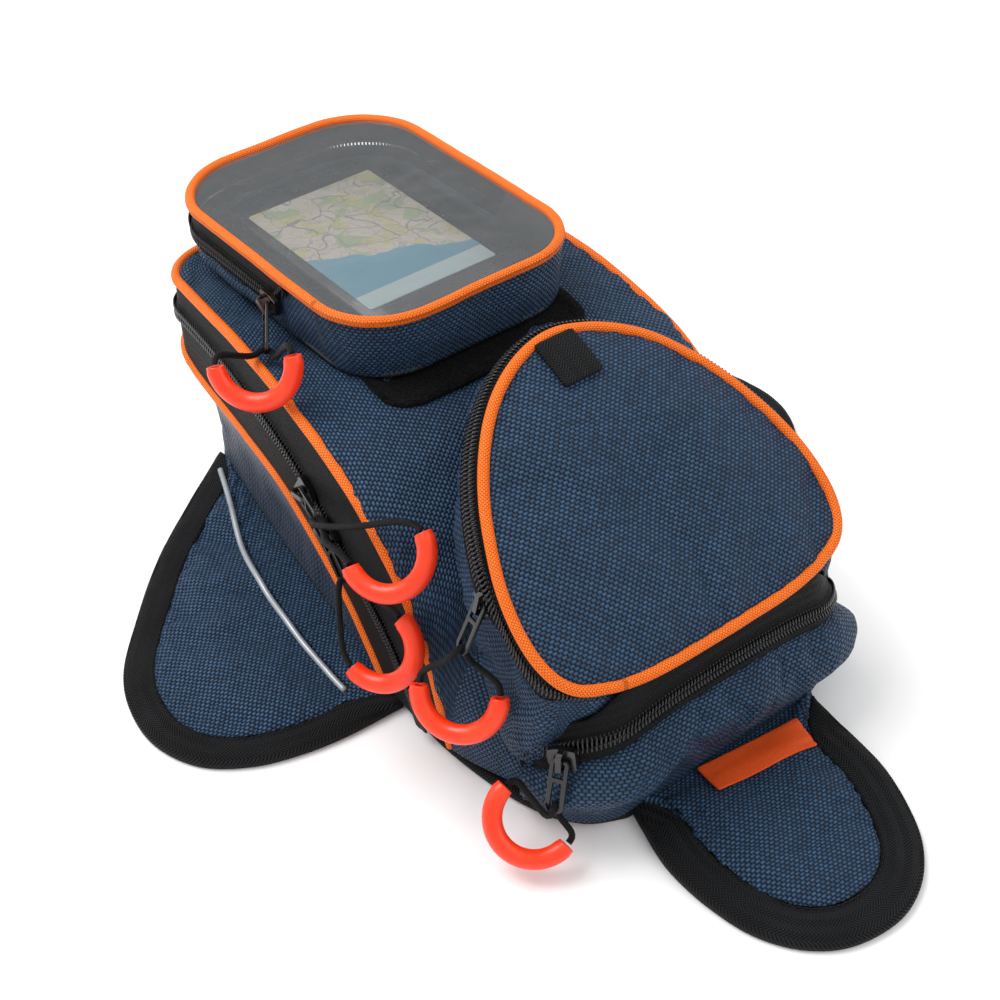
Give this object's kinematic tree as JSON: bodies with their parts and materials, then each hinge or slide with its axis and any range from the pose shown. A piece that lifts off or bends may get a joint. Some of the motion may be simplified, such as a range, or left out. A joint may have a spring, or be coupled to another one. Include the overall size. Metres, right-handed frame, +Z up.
{
  "type": "tank bag",
  "caption": "Navy magnetic motorcycle tank bag with clamshell main bag, arch-lid pocket, lift-off phone pouch, orange piping and pull grips",
  "frame": {"origin": "middle of the base's underside", "axes": "+X rider's right, +Y towards the handlebar, +Z up off the tank"},
  "size_m": [0.402, 0.4723, 0.1696],
  "materials": {
    "navy_cloth": "coarse ballistic weave, matt with a faint sheen",
    "black_cloth": "herringbone webbing and plain black cloth",
    "orange_piping": "woven cord piping",
    "zip_tape": "herringbone zip tape with a nylon coil",
    "pouch_lining": "smooth grey lining",
    "window_film": "clear soft film, glossy and creased",
    "printed_card": "glossy printed map sheet",
    "hook_and_loop": "fuzzy hook-and-loop pile",
    "magnet": "plated flat magnet",
    "board": "stiff sheet",
    "reflective_piping": "silver reflective piping",
    "zip_metal": "black enamel on cast zinc",
    "grip_rubber": "smooth moulded soft plastic",
    "pull_cord": "braided round cord"
  },
  "bodies": {
    "tray": {"base_skin": "black_cloth", "base_stiffener": "board", "base_binding": "black_cloth", "side_wall": "navy_cloth", "lower_piping": "orange_piping", "main_zip_lower": "zip_tape"},
    "shell": {"main_zip_upper": "zip_tape", "upper_piping": "orange_piping", "top_panel": "navy_cloth", "pocket_gusset": "navy_cloth", "pocket_zip_lower": "zip_tape", "tail_wall": "navy_cloth", "tail_zip_lower": "zip_tape", "tail_zip_upper": "zip_tape", "tail_partition": "black_cloth", "loop_patch": "hook_and_loop"},
    "pocket_lid": {"lid_panel": "navy_cloth", "lid_piping": "orange_piping", "lid_tab": "black_cloth", "pocket_zip_upper": "zip_tape"},
    "pouch": {"pouch_floor": "pouch_lining", "pouch_wall": "navy_cloth", "pouch_zip_lower": "zip_tape", "pouch_hook_patch": "hook_and_loop", "insert_card": "printed_card"},
    "pouch_window": {"window_film": "window_film", "pouch_piping": "orange_piping", "pouch_zip_upper": "zip_tape"},
    "left_flap": {"left_flap_panel": "navy_cloth", "left_flap_magnet": "magnet", "left_flap_binding": "black_cloth", "left_flap_reflector": "reflective_piping"},
    "right_flap": {"right_flap_panel": "navy_cloth", "right_flap_magnet": "magnet", "right_flap_binding": "black_cloth", "right_flap_reflector": "reflective_piping"},
    "tail_flap": {"tail_flap_panel": "navy_cloth", "tail_flap_magnet": "magnet", "tail_flap_binding": "black_cloth", "tail_label": "orange_piping"},
    "main_front_slider": {"main_front_slider": "zip_metal"},
    "main_front_pull": {"main_front_puller": "zip_metal", "main_front_grip": "grip_rubber", "main_front_cord": "pull_cord"},
    "main_rear_slider": {"main_rear_slider": "zip_metal"},
    "main_rear_pull": {"main_rear_puller": "zip_metal", "main_rear_grip": "grip_rubber", "main_rear_cord": "pull_cord"},
    "pocket_slider": {"pocket_slider": "zip_metal"},
    "pocket_pull": {"pocket_puller": "zip_metal", "pocket_grip": "grip_rubber", "pocket_cord": "pull_cord"},
    "tail_slider": {"tail_slider": "zip_metal"},
    "tail_pull": {"tail_puller": "zip_metal", "tail_grip": "grip_rubber", "tail_cord": "pull_cord"},
    "pouch_slider": {"pouch_slider": "zip_metal"},
    "pouch_pull": {"pouch_puller": "zip_metal", "pouch_grip": "grip_rubber", "pouch_cord": "pull_cord"}
  },
  "joints": [
    {"name": "clamshell", "type": "hinge", "parent": "tray", "child": "shell", "pos_m": [0, -0.173, 0.0053], "axis": [1, 0, 0], "range_deg": [0, 55]},
    {"name": "lid", "type": "hinge", "parent": "shell", "child": "pocket_lid", "pos_m": [0, -0.1657, 0.0846], "axis": [1, 0, 0], "range_deg": [0, 85]},
    {"name": "pouch_lift", "type": "slide", "parent": "shell", "child": "pouch", "axis": [0, 0, 1], "range_m": [0, 0.06]},
    {"name": "window", "type": "hinge", "parent": "pouch", "child": "pouch_window", "pos_m": [0, 0.0004, 0.1648], "axis": [1, 0, 0], "range_deg": [0, 90]},
    {"name": "left_flap_fold", "type": "hinge", "parent": "tray", "child": "left_flap", "pos_m": [-0.0935, 0.03, 0.0022], "axis": [0.11, 0.9939, 0], "range_deg": [-60, 60]},
    {"name": "right_flap_fold", "type": "hinge", "parent": "tray", "child": "right_flap", "pos_m": [0.0935, 0.03, 0.0022], "axis": [0.11, -0.9939, 0], "range_deg": [-60, 60]},
    {"name": "tail_flap_fold", "type": "hinge", "parent": "tray", "child": "tail_flap", "pos_m": [0.004, -0.1758, 0.0022], "axis": [-1, 0, 0], "range_deg": [-60, 10]},
    {"name": "main_front_slider_slide", "type": "slide", "parent": "shell", "child": "main_front_slider", "axis": [0.0465, 0.8841, 0.465], "range_m": [0, 0.035]},
    {"name": "main_rear_slider_slide", "type": "slide", "parent": "shell", "child": "main_rear_slider", "axis": [-0.0547, -0.8356, -0.5466], "range_m": [0, 0.005]},
    {"name": "pocket_slider_slide", "type": "slide", "parent": "shell", "child": "pocket_slider", "axis": [0.2614, 0.7968, 0.5448], "range_m": [-0.012, 0.005]},
    {"name": "tail_slider_slide", "type": "slide", "parent": "shell", "child": "tail_slider", "axis": [0.5055, -0.8503, 0.1464], "range_m": [0, 0.012]},
    {"name": "pouch_slider_slide", "type": "slide", "parent": "pouch", "child": "pouch_slider", "axis": [0, 0.9988, -0.0499], "range_m": [0, 0.04]},
    {"name": "main_front_pull_swing", "type": "hinge", "parent": "main_front_slider", "child": "main_front_pull", "pos_m": [-0.10017, 0.01, 0.08996], "axis": [-0.0979, -0.1803, -0.9787], "range_deg": [0, 60]},
    {"name": "main_rear_pull_swing", "type": "hinge", "parent": "main_rear_slider", "child": "main_rear_pull", "pos_m": [-0.1014, -0.009, 0.07915], "axis": [-0.0866, 0.4919, -0.8663], "range_deg": [0, 60]},
    {"name": "pocket_pull_swing", "type": "hinge", "parent": "pocket_slider", "child": "pocket_pull", "pos_m": [-0.08721, -0.11144, 0.10868], "axis": [0.0742, 0.9921, -0.1008], "range_deg": [0, 60]},
    {"name": "tail_pull_swing", "type": "hinge", "parent": "tail_slider", "child": "tail_pull", "pos_m": [-0.08425, -0.16153, 0.05155], "axis": [-0.5022, 0.863, -0.0544], "range_deg": [0, 60]},
    {"name": "pouch_pull_swing", "type": "hinge", "parent": "pouch_slider", "child": "pouch_pull", "pos_m": [-0.0715, 0.076, 0.146], "axis": [0, 0.5384, -0.8427], "range_deg": [0, 60]}
  ]
}
